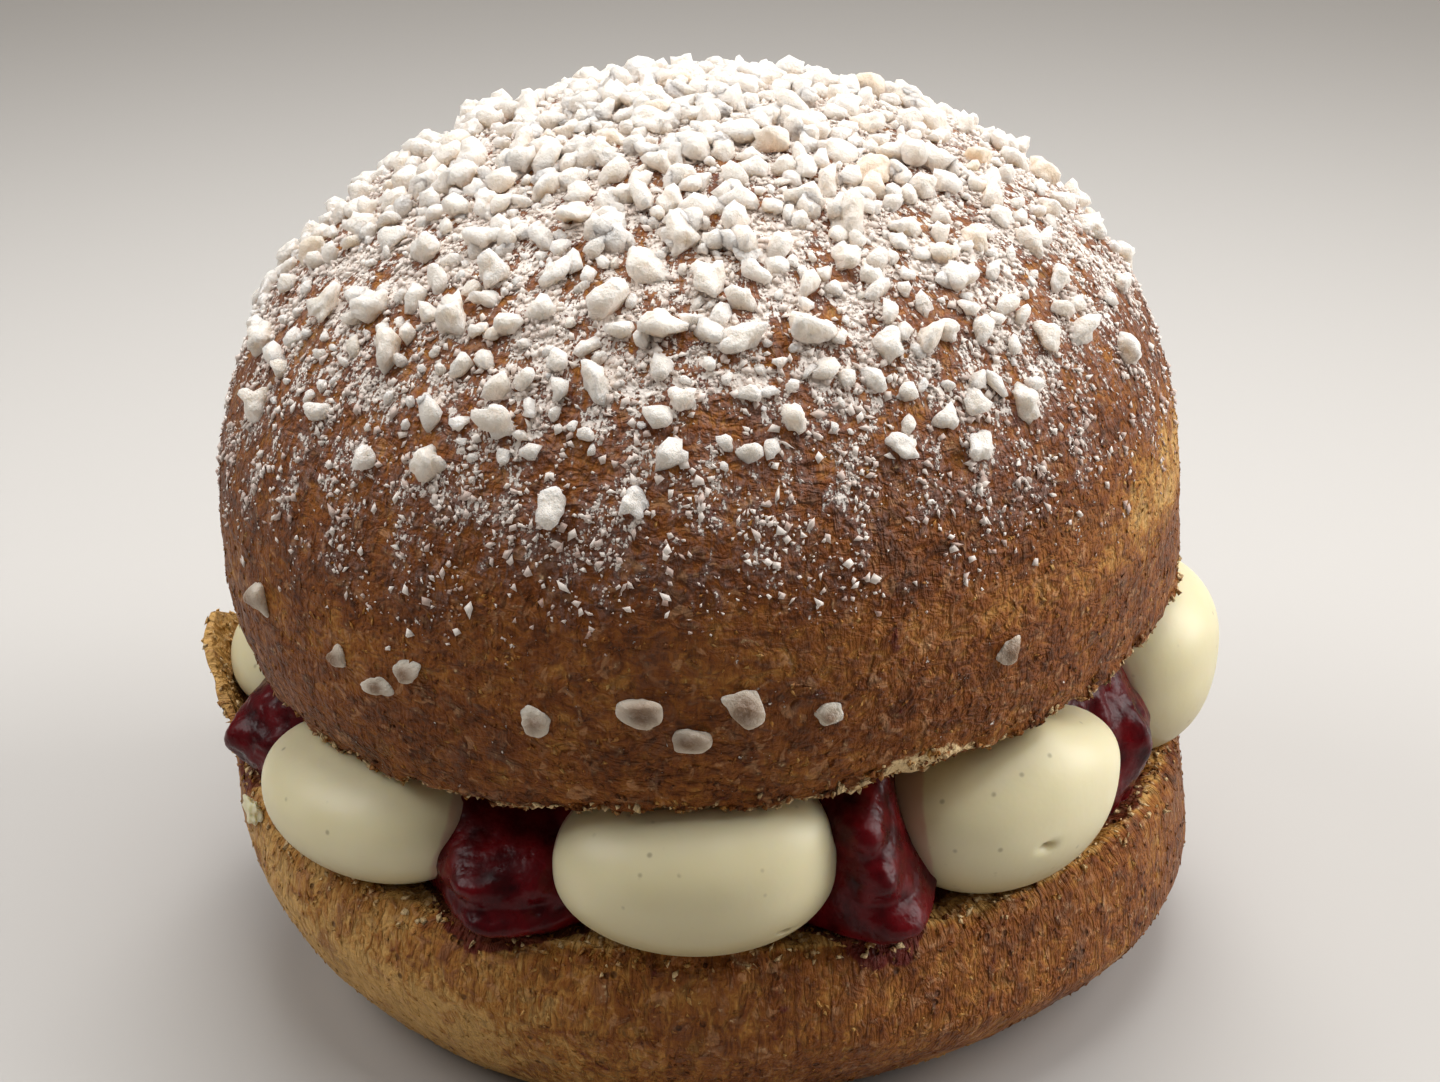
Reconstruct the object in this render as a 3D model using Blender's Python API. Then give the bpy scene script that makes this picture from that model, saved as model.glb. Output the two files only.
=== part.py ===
"""A brioche bun, cut in two and filled.

The lower half stands on its flat underside. Piped balls of vanilla cream stand on it in a ring, red
jam fills the middle and shows between them, and the upper half lies on top, a little askew: a tall
brown dome strewn with pearl sugar.

Metres, +Z up. The origin is the middle of the flat underside, -Y is the side that shows and +X is its
right. An azimuth is counted from the front, -Y, towards the right, +X.
"""

import math

import bmesh
import bpy
import numpy as np
from mathutils import Matrix, Vector

MM = 0.001
TOUCH_GAP = 0.3 * MM

# The lower half: its flat underside, its widest place, and the height of the cut
BASE_FOOT_RADIUS = 39.5 * MM
BASE_WIDEST = {"left": 49.4 * MM, "front": 49.6 * MM, "right": 50.4 * MM}
BASE_WIDEST_HEIGHT = {"left": 17.5 * MM, "front": 13.5 * MM, "right": 10.5 * MM}
BASE_CORNER = {"left": 1.38, "front": 1.30, "right": 1.30}
BASE_RIM = {"left": 49.2 * MM, "front": 47.8 * MM, "right": 48.8 * MM}
CUT_HEIGHT = 22.5 * MM
FOOT_SPREAD = {"left": 0.97, "front": 1.0, "right": 1.08}
FOOT_DENT = 4.0 * MM
FOOT_DENT_AZIMUTH = math.radians(35)
FOOT_DENT_HALF_WIDTH = math.radians(50)

# The torn lip of crust that stands up on the left of the lower half
LIP_AZIMUTH = math.radians(-94)
LIP_HALF_WIDTH = math.radians(18)
LIP_RISE = 5.0 * MM
LIP_FLARE = 3.8 * MM
LIP_THICKNESS = 1.0 * MM

# The upper half, in its own frame, which stands on the middle of its cut face
TOP_MIDDLE_HEIGHT = 36.9 * MM
TOP_TILT = math.radians(4.75)
TOP_RISE = 50.4 * MM
TOP_WIDEST = 48.4 * MM
TOP_WIDEST_HEIGHT = 11.0 * MM
TOP_CUT_RADIUS = {"left": 43.8 * MM, "front": 45.2 * MM, "right": 47.8 * MM}
DOME_POWER = 2.3

# The cut's edge is torn: a ragged bevel all round, and one deeper tear to the right of the front
TORN_WIDTH = 2.2 * MM
TORN_WAVES = ((7, 0.16, 0.3), (11, 0.14, 2.2), (19, 0.12, 5.0))
TORN_HEIGHT = 0.5 * MM
TEAR_AZIMUTH = math.radians(30)
TEAR_HALF_WIDTH = math.radians(12)
TEAR_HEIGHT = 1.7 * MM

# Soft dents and swells of the baked dough: how many round the bun, how deep, and where they start
SWELLS = ((2, 0.007, 0.6), (3, 0.006, 2.1), (5, 0.004, 4.0))

# The piped cream, one row a ball: azimuth, half its width along the ring, how far out it reaches, and a
# power for its shoulders under the upper half, which are the squarer the smaller it is
CREAM_DEGREES_MM = (
    (-1.4, 13.2, 51.8, 0.60),
    (42.7, 13.1, 50.9, 1.00),
    (86.2, 11.8, 52.6, 1.00),
    (129.0, 12.5, 51.2, 0.85),
    (172.0, 12.8, 51.6, 0.80),
    (-144.0, 12.5, 51.4, 0.90),
    (-96.0, 11.4, 50.5, 0.90),
    (-48.9, 13.3, 52.1, 0.75),
)
CREAM_OUTER_DEPTH = 9.4 * MM
CREAM_INNER_DEPTH = 13.5 * MM
CREAM_BOX_POWER = 0.88
CREAM_SQUASH_BELOW = 1.2
CREAM_SQUASH_ABOVE = 1.06

# The jam wells out between the balls, one row a gap: azimuth, half its width and how far out it reaches.
# It is widest low down and draws back under the upper half, and the grown balls are cut out of it.
JAM_DEGREES_MM = (
    (20.5, 12, 49.2),
    (64.5, 16, 47.2),
    (107.5, 16, 48.2),
    (150.5, 15, 47.4),
    (-166.0, 16, 48.4),
    (-120.5, 16, 47.8),
    (-75.0, 17, 49.2),
    (-25.5, 17, 49.0),
)
JAM_CORE_RADIUS = 42.8 * MM
JAM_BULGE_SHARE = 0.25
JAM_DRAWN_BACK = 6.2 * MM
JAM_TUCKED_UNDER = 1.0 * MM

# Pearl sugar: the large nibs of the dome, and the few baked into the curl above the cut
NIB_COUNT = 228
NIB_FIELD_RADIUS = 44.5 * MM
NIB_SPACING = 3.9 * MM
NIB_SPREADING = 2.6 * MM
NIB_SMALLEST = 2.9 * MM
NIB_LARGEST = 4.7 * MM
NIB_SUNK = 0.18
NIB_SEED = 27
NIB_TRIES = 9000
BAKED_NIBS_DEGREES_MM = (
    (-57, 15.3, 3.3),
    (-42, 13.4, 2.4),
    (-36, 11.9, 2.8),
    (-32, 14.0, 2.9),
    (-17, 11.0, 3.0),
    (-5.5, 11.9, 3.2),
    (-1, 9.0, 2.9),
    (5, 11.9, 3.9),
    (14, 9.5, 2.9),
    (36, 10.5, 2.5),
    (96, 12.0, 3.0),
    (131, 10.0, 2.8),
    (158, 12.4, 3.4),
    (-161, 11.4, 3.0),
    (-128, 12.2, 2.7),
)

# How finely the plain solids are cut into faces
BASE_SIDES = 48
TOP_SIDES = 56
JAM_SIDES = 96
CREAM_SIDES = 16
CREAM_RINGS = 9

CRUST = ("crust", (0.40, 0.17, 0.055), 0.55)
CREAM = ("cream", (0.86, 0.79, 0.56), 0.38)
JAM = ("jam", (0.16, 0.008, 0.014), 0.12)


def clear_scene():
    for obj in list(bpy.data.objects):
        bpy.data.objects.remove(obj)


def material(name, colour, roughness):
    made = bpy.data.materials.new(name)
    made.use_nodes = True
    shader = made.node_tree.nodes["Principled BSDF"]
    shader.inputs["Base Color"].default_value = (*colour, 1.0)
    shader.inputs["Roughness"].default_value = roughness
    shader.inputs["Metallic"].default_value = 0.0
    return made


def object_of(name, mesh_maker, finish=None):
    """Makes one object from what mesh_maker does to an empty bmesh, with its faces turned out."""
    mesh = bpy.data.meshes.new(name)
    bm = bmesh.new()
    mesh_maker(bm)
    bmesh.ops.recalc_face_normals(bm, faces=bm.faces)
    if bm.calc_volume(signed=True) < 0:
        bmesh.ops.reverse_faces(bm, faces=bm.faces)
    bm.to_mesh(mesh)
    bm.free()
    mesh.shade_smooth()
    mesh.set_sharp_from_angle(angle=math.radians(50))
    if finish:
        mesh.materials.append(finish)
    obj = bpy.data.objects.new(name, mesh)
    bpy.context.scene.collection.objects.link(obj)
    return obj


def round_the_bun(azimuth, sizes):
    """A size that changes smoothly round the bun: as named at the left and right, and at front and back."""
    s = math.sin(azimuth)
    mean = (sizes["right"] + sizes["left"]) / 2
    return sizes["front"] + (sizes["right"] - sizes["left"]) / 2 * s + (mean - sizes["front"]) * s * s


def swell(azimuth, waves=SWELLS):
    """1, give or take the waves' few percent."""
    return 1.0 + sum(depth * math.cos(count * azimuth + start) for count, depth, start in waves)


def hump(azimuth, middle, half_width):
    """1 at the azimuth middle, falling smoothly to 0 half_width to either side of it."""
    away = (azimuth - middle + math.pi) % (2 * math.pi) - math.pi
    return (1 + math.cos(min(1.0, abs(away) / half_width) * math.pi)) / 2


def around(sides):
    return [2 * math.pi * i / sides for i in range(sides)]


def loft(bm, outlines):
    """Skins a stack of closed outlines, each a list of points, and closes each end with a fan."""
    loops = [[bm.verts.new(point) for point in outline] for outline in outlines]
    sides = len(loops[0])
    for low, high in zip(loops, loops[1:]):
        for i in range(sides):
            j = (i + 1) % sides
            bm.faces.new((low[i], low[j], high[j], high[i]))
    for loop in (loops[0], loops[-1]):
        middle = sum((v.co for v in loop), Vector()) / sides
        hub = bm.verts.new(middle)
        for i in range(sides):
            bm.faces.new((loop[i], loop[(i + 1) % sides], hub))


def turned(bm, sides, section):
    """Lofts a body from its section, a function that gives (radius, height) pairs for an azimuth."""
    sections = [section(azimuth) for azimuth in around(sides)]
    rows = []
    for k in range(len(sections[0])):
        row = []
        for azimuth, pairs in zip(around(sides), sections):
            radius, height = pairs[k]
            row.append(Vector((radius * math.sin(azimuth), -radius * math.cos(azimuth), height)))
        rows.append(row)
    loft(bm, rows)


def base_section(azimuth):
    """The lower half: flat foot, round corner, nearly upright side, rim or torn lip, and the cut face."""
    grown = swell(azimuth)
    lip = hump(azimuth, LIP_AZIMUTH, LIP_HALF_WIDTH)
    dent = FOOT_DENT * hump(azimuth, FOOT_DENT_AZIMUTH, FOOT_DENT_HALF_WIDTH)
    foot = BASE_FOOT_RADIUS * round_the_bun(azimuth, FOOT_SPREAD) * grown - dent
    widest = round_the_bun(azimuth, BASE_WIDEST) * grown
    widest_height = round_the_bun(azimuth, BASE_WIDEST_HEIGHT)
    power = 2.0 / round_the_bun(azimuth, BASE_CORNER)
    rim = round_the_bun(azimuth, BASE_RIM) * (1 + (grown - 1) / 2) + LIP_FLARE * lip
    rim_height = CUT_HEIGHT + LIP_RISE * lip
    pairs = [(foot * 0.5, 0.0), (foot, 0.0)]
    for degrees in (18, 36, 54, 72, 90):
        turn = math.radians(degrees)
        pairs.append(
            (
                foot + (widest - foot) * math.sin(turn) ** power,
                widest_height * (1 - math.cos(turn) ** power) if degrees < 90 else widest_height,
            )
        )
    for share in (0.4, 0.75):
        pairs.append(
            (widest + (rim - widest) * share**2, widest_height + (rim_height - widest_height) * share)
        )
    pairs.append((rim, rim_height - TOUCH_GAP))
    inner = rim - LIP_THICKNESS
    pairs.append((inner, rim_height))
    floor_radius = inner - TOUCH_GAP - LIP_FLARE * lip / 2
    pairs.append((floor_radius, CUT_HEIGHT))
    pairs.append((floor_radius * 0.5, CUT_HEIGHT))
    return pairs


def top_radius(azimuth, height):
    """The upper half's radius at a height above its cut: a curl under the widest place, then a dome."""
    grown = swell(azimuth)
    cut = round_the_bun(azimuth, TOP_CUT_RADIUS)
    if height < TOP_WIDEST_HEIGHT:
        share = height / TOP_WIDEST_HEIGHT
        return grown * (cut + (TOP_WIDEST - cut) * math.sqrt(1 - (1 - share) ** 2))
    share = (height - TOP_WIDEST_HEIGHT) / (TOP_RISE - TOP_WIDEST_HEIGHT)
    return grown * TOP_WIDEST * max(0.0, 1 - share**DOME_POWER) ** (1 / DOME_POWER)


def top_height(azimuth, radius):
    """The dome's height above the cut at a radius, which is top_radius turned round."""
    share = min(1.0, radius / (TOP_WIDEST * swell(azimuth)))
    rise = (TOP_RISE - TOP_WIDEST_HEIGHT) * (1 - share**DOME_POWER) ** (1 / DOME_POWER)
    return TOP_WIDEST_HEIGHT + rise


def torn_height(azimuth):
    """How far the crust stops above the cut face: a little all round, and more at the tear."""
    tear = hump(azimuth, TEAR_AZIMUTH, TEAR_HALF_WIDTH)
    return TORN_HEIGHT * swell(azimuth, TORN_WAVES) + TEAR_HEIGHT * tear


def top_section(azimuth):
    """The upper half: flat cut, torn edge, curl, widest place and dome."""
    torn = torn_height(azimuth)
    cut = top_radius(azimuth, torn)
    pairs = [(cut * 0.5, 0.0), (cut - TORN_WIDTH, 0.0), (cut, torn)]
    for share in (0.33, 0.66):
        height = torn + (TOP_WIDEST_HEIGHT - torn) * share**1.5
        pairs.append((top_radius(azimuth, height), height))
    for degrees in (0, 12, 24, 36, 48, 60, 70, 79, 86):
        share = math.sin(math.radians(degrees)) ** (2 / DOME_POWER)
        height = TOP_WIDEST_HEIGHT + (TOP_RISE - TOP_WIDEST_HEIGHT) * share
        pairs.append((top_radius(azimuth, height), height))
    return pairs


def top_frame():
    """Where the upper half lies: tilted about the line from front to back, higher on the right."""
    return Matrix.Translation((0, 0, TOP_MIDDLE_HEIGHT)) @ Matrix.Rotation(-TOP_TILT, 4, "Y")


def under_top(x):
    """The height of the upper half's cut face over a place x to the right of the middle."""
    return TOP_MIDDLE_HEIGHT + math.tan(TOP_TILT) * x


def squeezed(x, share):
    """A height between the two cut faces over x: share 0 lies on the lower one, and 1 under the upper."""
    low = CUT_HEIGHT + TOUCH_GAP
    return low + share * (under_top(x) - TOUCH_GAP - low)


def cream_ball(bm, azimuth, half_width, reach, shoulder, grow=0.0):
    """A piped ball, a little boxy, longer towards the middle of the bun, and flat where it touches."""
    bmesh.ops.create_uvsphere(bm, u_segments=CREAM_SIDES, v_segments=CREAM_RINGS, radius=1.0)
    middle = reach - CREAM_OUTER_DEPTH
    for vert in bm.verts:
        across, out, up = vert.co
        flat = max(1e-6, math.hypot(across, out))
        squash = CREAM_SQUASH_ABOVE if up > 0 else CREAM_SQUASH_BELOW
        lift = squash * math.copysign(abs(up) ** CREAM_BOX_POWER, up)
        share = (max(-1.0, min(1.0, lift)) + 1) / 2
        wider = flat ** ((shoulder if up > 0 else CREAM_BOX_POWER) - 1)
        deeper = 1.0 if up > 0 else flat ** (CREAM_BOX_POWER - 1)
        depth = CREAM_OUTER_DEPTH if out > 0 else CREAM_INNER_DEPTH
        along = -across * wider * (half_width + grow)
        radius = middle + out * deeper * (depth + grow)
        x = radius * math.sin(azimuth) + along * math.cos(azimuth)
        y = -radius * math.cos(azimuth) + along * math.sin(azimuth)
        height = squeezed(x, share) + (2 * share - 1) * 3 * grow
        vert.co = (x, y, height)


def jam_radius(azimuth, share):
    """The jam's radius at a share of its height: a core, and a lobe in each gap between the balls."""
    edge = JAM_CORE_RADIUS
    for degrees, half_width, reach in JAM_DEGREES_MM:
        lobe = hump(azimuth, math.radians(degrees), math.radians(half_width))
        edge += (reach * MM - JAM_CORE_RADIUS) * lobe
    if share < JAM_BULGE_SHARE:
        return edge - JAM_TUCKED_UNDER * (1 - share / JAM_BULGE_SHARE) ** 2
    return edge - JAM_DRAWN_BACK * ((share - JAM_BULGE_SHARE) / (1 - JAM_BULGE_SHARE)) ** 2


def jam_section(azimuth):
    """The jam: a thick disc between the cut faces, with a bulging edge."""
    shares = (0.0, 0.0, 0.12, 0.30, 0.50, 0.72, 0.90, 1.0, 1.0)
    radii = [jam_radius(azimuth, share) for share in shares]
    radii[0] *= 0.5
    radii[-1] *= 0.5
    return [(radius, squeezed(radius * math.sin(azimuth), share)) for radius, share in zip(radii, shares)]


def scattered_nibs(rng):
    """Places for the dome's large nibs, as (azimuth, radius, size): thrown down from above at random,
    and kept where no other nib is too near. They lie closer together near the top."""
    kept = []
    for _ in range(NIB_TRIES):
        azimuth = rng.uniform(0, 2 * math.pi)
        radius = NIB_FIELD_RADIUS * math.sqrt(rng.uniform(0, 1))
        size = rng.uniform(NIB_SMALLEST, NIB_LARGEST)
        spacing = NIB_SPACING + NIB_SPREADING * (radius / NIB_FIELD_RADIUS) ** 2
        here = Vector((radius * math.sin(azimuth), -radius * math.cos(azimuth)))
        if all((here - place).length > spacing for place, *_ in kept):
            kept.append((here, azimuth, radius, size))
        if len(kept) == NIB_COUNT:
            break
    return [(azimuth, radius, size) for _, azimuth, radius, size in kept]


def add_nib(collection, index, foot, outward, size, rng):
    """One nib: a lumpy, slightly long crystal, part of it sunk into the crust."""
    bm = bmesh.new()
    bmesh.ops.create_icosphere(bm, subdivisions=1, radius=size / 2)
    for vert in bm.verts:
        vert.co *= 1 + rng.uniform(-0.16, 0.16)
    stretch = Matrix.Diagonal((1.12, rng.uniform(0.8, 1.0), rng.uniform(0.66, 0.84), 1.0))
    spin = Matrix.Rotation(rng.uniform(0, 2 * math.pi), 4, "Z")
    lean = outward.to_track_quat("Z", "Y").to_matrix().to_4x4()
    lift = Matrix.Translation(foot + outward * size * (0.5 - NIB_SUNK) * 0.62)
    bmesh.ops.transform(bm, matrix=lift @ lean @ spin @ stretch, verts=bm.verts)
    mesh = bpy.data.meshes.new(f"nib_{index}")
    bm.to_mesh(mesh)
    bm.free()
    collection.objects.link(bpy.data.objects.new(mesh.name, mesh))


def dome_spot(azimuth, radius):
    """A point of the dome and the way out of it, in the upper half's own frame."""
    step = 0.2 * MM
    turn = 0.004

    def point(a, r):
        return Vector((r * math.sin(a), -r * math.cos(a), top_height(a, r)))

    here = point(azimuth, radius)
    outward = (point(azimuth + turn, radius) - here).cross(point(azimuth, radius + step) - here)
    outward = outward.normalized() if outward.length > 0 else Vector((0, 0, 1))
    return here, outward if outward.z > 0 else -outward


def curl_spot(azimuth, height):
    """A point of the curl above the cut and the way out of it, in the upper half's own frame."""
    step = 0.2 * MM
    radius = top_radius(azimuth, height)
    lean = (top_radius(azimuth, height + step) - radius) / step
    side = Vector((math.sin(azimuth), -math.cos(azimuth), 0))
    return side * radius + Vector((0, 0, height)), (side - Vector((0, 0, lean))).normalized()


def build_top(finish):
    """The dome with its pearl sugar fused on by one union, laid askew on the filling."""
    top = object_of("bun_top", lambda bm: turned(bm, TOP_SIDES, top_section), finish)
    nibs = bpy.data.collections.new("nibs")
    bpy.context.scene.collection.children.link(nibs)
    rng = np.random.default_rng(NIB_SEED)
    places = scattered_nibs(rng)
    for index, (azimuth, radius, size) in enumerate(places):
        foot, outward = dome_spot(azimuth, radius)
        add_nib(nibs, index, foot, outward, size, rng)
    for index, (degrees, height, size) in enumerate(BAKED_NIBS_DEGREES_MM, len(places)):
        foot, outward = curl_spot(math.radians(degrees), height * MM)
        add_nib(nibs, index, foot, outward, size * MM, rng)
    join = top.modifiers.new("pearl_sugar", "BOOLEAN")
    join.operation = "UNION"
    join.operand_type = "COLLECTION"
    join.collection = nibs
    join.solver = "MANIFOLD"
    bpy.context.view_layer.update()
    seen = top.evaluated_get(bpy.context.evaluated_depsgraph_get())
    fused = bpy.data.meshes.new_from_object(seen)
    top.modifiers.remove(join)
    top.data = fused
    for nib in list(nibs.objects):
        bpy.data.objects.remove(nib)
    bpy.data.collections.remove(nibs)
    top.matrix_world = top_frame()
    return top


def build_cream(finish):
    """The ring of piped balls, and a hidden, slightly larger copy of each to cut the jam with."""
    cutters = bpy.data.collections.new("jam_cutters")
    bpy.context.scene.collection.children.link(cutters)
    for number, (degrees, half_width, reach, shoulder) in enumerate(CREAM_DEGREES_MM, 1):
        ball = (math.radians(degrees), half_width * MM, reach * MM, shoulder)
        object_of(f"cream_{number}", lambda bm: cream_ball(bm, *ball), finish)
        cutter = object_of(f"cutter_{number}", lambda bm: cream_ball(bm, *ball, grow=TOUCH_GAP))
        bpy.context.scene.collection.objects.unlink(cutter)
        cutters.objects.link(cutter)
        cutter.hide_render = True
        cutter.display_type = "WIRE"
    return cutters


def build_jam(finish, cutters):
    jam = object_of("jam", lambda bm: turned(bm, JAM_SIDES, jam_section), finish)
    cut = jam.modifiers.new("room_for_cream", "BOOLEAN")
    cut.operation = "DIFFERENCE"
    cut.operand_type = "COLLECTION"
    cut.collection = cutters
    cut.solver = "EXACT"
    return jam


def build():
    clear_scene()
    crust = material(*CRUST)
    object_of("bun_base", lambda bm: turned(bm, BASE_SIDES, base_section), crust)
    cutters = build_cream(material(*CREAM))
    build_jam(material(*JAM), cutters)
    build_top(crust)


build()
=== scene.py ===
"""The looks of a filled brioche bun: crust, pearl sugar, icing sugar, vanilla cream and red jam.

Metres, +Z up, -Y towards the side that shows, +X to its right. An azimuth is counted from the front
towards the right. The upper half is worked out in its own frame, which stands on the middle of its cut
face, and is then laid askew on the filling.
"""

import itertools
import math

import bmesh
import bpy
import numpy as np
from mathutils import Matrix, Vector


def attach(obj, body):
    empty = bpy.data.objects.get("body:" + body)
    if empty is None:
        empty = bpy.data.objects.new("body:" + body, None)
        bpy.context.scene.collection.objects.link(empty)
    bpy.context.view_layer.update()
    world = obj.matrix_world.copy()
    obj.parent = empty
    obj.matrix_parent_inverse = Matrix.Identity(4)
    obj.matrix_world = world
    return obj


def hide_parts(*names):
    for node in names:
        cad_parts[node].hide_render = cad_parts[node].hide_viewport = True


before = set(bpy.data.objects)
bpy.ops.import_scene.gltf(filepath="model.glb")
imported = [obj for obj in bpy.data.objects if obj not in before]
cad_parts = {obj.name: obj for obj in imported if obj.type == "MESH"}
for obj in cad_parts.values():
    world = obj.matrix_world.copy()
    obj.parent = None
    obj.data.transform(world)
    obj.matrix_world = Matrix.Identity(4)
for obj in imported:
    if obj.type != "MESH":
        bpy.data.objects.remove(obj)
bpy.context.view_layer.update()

MM = 0.001

# The camera: straight from the front, looking down
CAMERA_LOOKS_AT = Vector((0.00125, 0.0, 0.0418))
CAMERA_DISTANCE = 0.330
CAMERA_ELEVATION = math.radians(25.67)
CAMERA_LENS = 80.54

# The lower half. A triple gives a size at the left, in front and at the right, and a place gives the azimuth
# of its middle and its half width in degrees
BASE_FOOT_RADIUS = 39.5 * MM
BASE_WIDEST = (49.4 * MM, 49.6 * MM, 50.4 * MM)
BASE_WIDEST_HEIGHT = (17.5 * MM, 13.5 * MM, 10.5 * MM)
BASE_CORNER = (1.38, 1.30, 1.30)
BASE_RIM = (49.2 * MM, 47.8 * MM, 48.8 * MM)
FOOT_SPREAD = (0.97, 1.0, 1.08)
FOOT_DENT = 4.0 * MM
FOOT_DENT_AT = (35, 50)
CUT_HEIGHT = 22.5 * MM
LIP_AT = (-96, 22)
LIP_RISE = 7.0 * MM
LIP_FLARE = 4.3 * MM
LIP_THICKNESS = 0.8 * MM
LIP_RAGGED = 0.12
SIDE_UP_TO = 0.975
RIM_SAG = 0.1 * MM
SHOULDER_DROP = 2.4 * MM
SHOULDER_WIDTH = 0.9 * MM

# The upper half
TOP_MIDDLE_HEIGHT = 36.9 * MM
TOP_TILT = math.radians(4.75)
TOP_RISE = 50.4 * MM
TOP_WIDEST = 48.4 * MM
TOP_WIDEST_HEIGHT = 11.0 * MM
TOP_CUT_RADIUS = (43.8 * MM, 45.2 * MM, 47.8 * MM)
DOME_POWER = 2.3
TORN_WIDTH = 2.2 * MM
TORN_WAVES = ((7, 0.16, 0.3), (11, 0.14, 2.2), (19, 0.12, 5.0))
TORN_HEIGHT = 0.5 * MM
TEAR_AT = (25, 12)
TEAR_HEIGHT = 1.7 * MM
SWELLS = ((2, 0.007, 0.6), (3, 0.006, 2.1), (5, 0.004, 4.0))

# The piped cream, one row a ball: azimuth, half its width along the ring, how far out it reaches, and a
# power for its shoulders under the upper half, which are the squarer the smaller it is
CREAM_DEGREES_MM = (
    (-1.4, 13.2, 51.8, 0.60), (42.7, 13.1, 50.9, 2.30), (86.2, 11.8, 52.6, 1.00), (129.0, 12.5, 51.2, 0.85),
    (172.0, 12.8, 51.6, 0.80), (-144.0, 12.5, 51.4, 0.90), (-96.0, 11.4, 50.5, 0.90), (-48.9, 13.3, 52.1, 0.75),
)
CREAM_OUTER_DEPTH = 9.4 * MM
CREAM_INNER_DEPTH = 13.5 * MM
CREAM_BOX_POWER = 0.88
CREAM_SQUASH_BELOW = 1.2
CREAM_SQUASH_ABOVE = 1.06
# Bubble pits in the cream, each on a ball: its number, how far across and up on the sphere, and its size
CREAM_PITS_MM = ((2, -0.24, -0.17, 1.5), (1, 0.64, -0.45, 1.1), (8, -0.80, 0.10, 0.7), (3, 0.30, 0.35, 0.8),
                 (4, -0.20, 0.30, 1.2), (5, 0.35, -0.20, 1.0), (6, 0.10, 0.25, 1.3), (7, -0.30, -0.10, 0.9))
PIT_DEPTH = 0.13

# A smear of cream on the left rim
SMEAR_AT = math.radians(-66.0)
SMEAR_RADIUS = 49.5 * MM
SMEAR_HEIGHT = 21.7 * MM
SMEAR_HALF_SIZES = np.array([1.7, 0.7, 1.4]) * MM

# The jam, one row a gap between the balls: azimuth, half its width, and how far out it wells
JAM_DEGREES_MM = (
    (20.5, 12, 49.2), (64.5, 16, 47.2), (107.5, 16, 48.2), (150.5, 15, 47.4),
    (-166.0, 16, 48.4), (-120.5, 16, 47.8), (-75.0, 17, 49.2), (-25.5, 17, 49.0),
)
JAM_CORE_RADIUS = 42.8 * MM
JAM_BULGE_SHARE = 0.25
JAM_DRAWN_BACK = 6.2 * MM
JAM_TUCKED_UNDER = 1.0 * MM
JAM_ENDS = 0.06
# Folds and runs of the jam: azimuth and half width, share of the height and its half, and how proud it is
JAM_FOLDS_DEGREES_MM = (
    (17.0, 5.0, 0.78, 0.34, 3.4), (18.5, 4.5, 0.46, 0.20, 1.6), (23.0, 8.0, 0.10, 0.20, 2.2),
    (-23.0, 12.0, 0.08, 0.18, 1.7), (28.0, 9.0, 0.66, 0.46, -4.4), (-25.0, 13.0, 0.84, 0.46, -4.2),
    (-27.0, 6.0, 0.42, 0.22, 1.2), (53.0, 9.0, 0.85, 0.40, 3.0), (66.0, 9.0, 0.45, 0.40, 1.2),
    (-76.0, 8.0, 0.35, 0.30, 1.0), (108.0, 8.0, 0.20, 0.24, 1.4), (152.0, 7.0, 0.30, 0.26, 1.4),
    (-165.0, 8.0, 0.18, 0.22, 1.6), (-121.0, 8.0, 0.25, 0.26, 1.4),
)

# Pearl sugar: the large nibs, whose places the solids share, and the small ones between them
NIB_COUNT = 228
NIB_FIELD_RADIUS = 44.5 * MM
NIB_SPACING = 3.9 * MM
NIB_SPREADING = 2.6 * MM
NIB_SMALLEST = 2.9 * MM
NIB_LARGEST = 4.7 * MM
NIB_SEED = 27
NIB_TRIES = 9000
BAKED_NIBS_DEGREES_MM = (
    (-57, 15.3, 3.3), (-42, 13.4, 2.4), (-36, 11.9, 2.8), (-32, 14.0, 2.9), (-17, 11.0, 3.0),
    (-5.5, 11.9, 3.2), (-1, 9.0, 2.9), (5, 11.9, 3.9), (14, 9.5, 2.9), (36, 10.5, 2.5),
    (96, 12.0, 3.0), (131, 10.0, 2.8), (158, 12.4, 3.4), (-161, 11.4, 3.0), (-128, 12.2, 2.7),
)
SMALL_NIB_COUNT = 2150
SMALL_NIBS_SPARSE_AT = (95, 60)
PILED_NIB_COUNT = 200
NIB_PLANES = 10
NIB_AMBER_ONES = 0.05

# The icing sugar's two kinds of grain: name, count, smallest size and spread of sizes
ICING_KINDS_MM = (("icing_sugar_dust", 20000, 0.07, 0.12), ("icing_sugar_clumps", 24500, 0.12, 0.34))

# Short flakes of crust on the curl and on the lower half, and crumbs along the two torn edges
TOP_FLAKE_COUNT = 3600
BASE_FLAKE_COUNT = 3800
FLAKE_HALF_SIZES_MM = (0.34, 0.15, 0.06)
TOP_CRUMB_COUNT = 1500
TOP_CRUMB_HALF_SIZES_MM = (0.42, 0.28, 0.22)
BASE_CRUMB_COUNT = 1300
BASE_CRUMB_HALF_SIZES_MM = (0.42, 0.28, 0.20)

# The table's half width, and the lamps: name, place, size and power
TABLE_HALF_WIDTH = 3.0
LAMPS = (
    ("overhead light", (0.05, 0.05, 0.80), 0.50, 3.9),
    ("light behind", (0.0, 0.50, 0.70), 0.50, 3.0),
    ("right light", (0.60, 0.0, 0.60), 0.45, 3.3),
    ("left light", (-0.60, 0.0, 0.60), 0.45, 2.95),
    ("low light at the right", (0.80, 0.10, 0.28), 0.40, 3.2),
)
LAMPS_AIM_AT = Vector((0, 0, 0.04))
ROOM_BRIGHTNESS = 0.15

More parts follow.
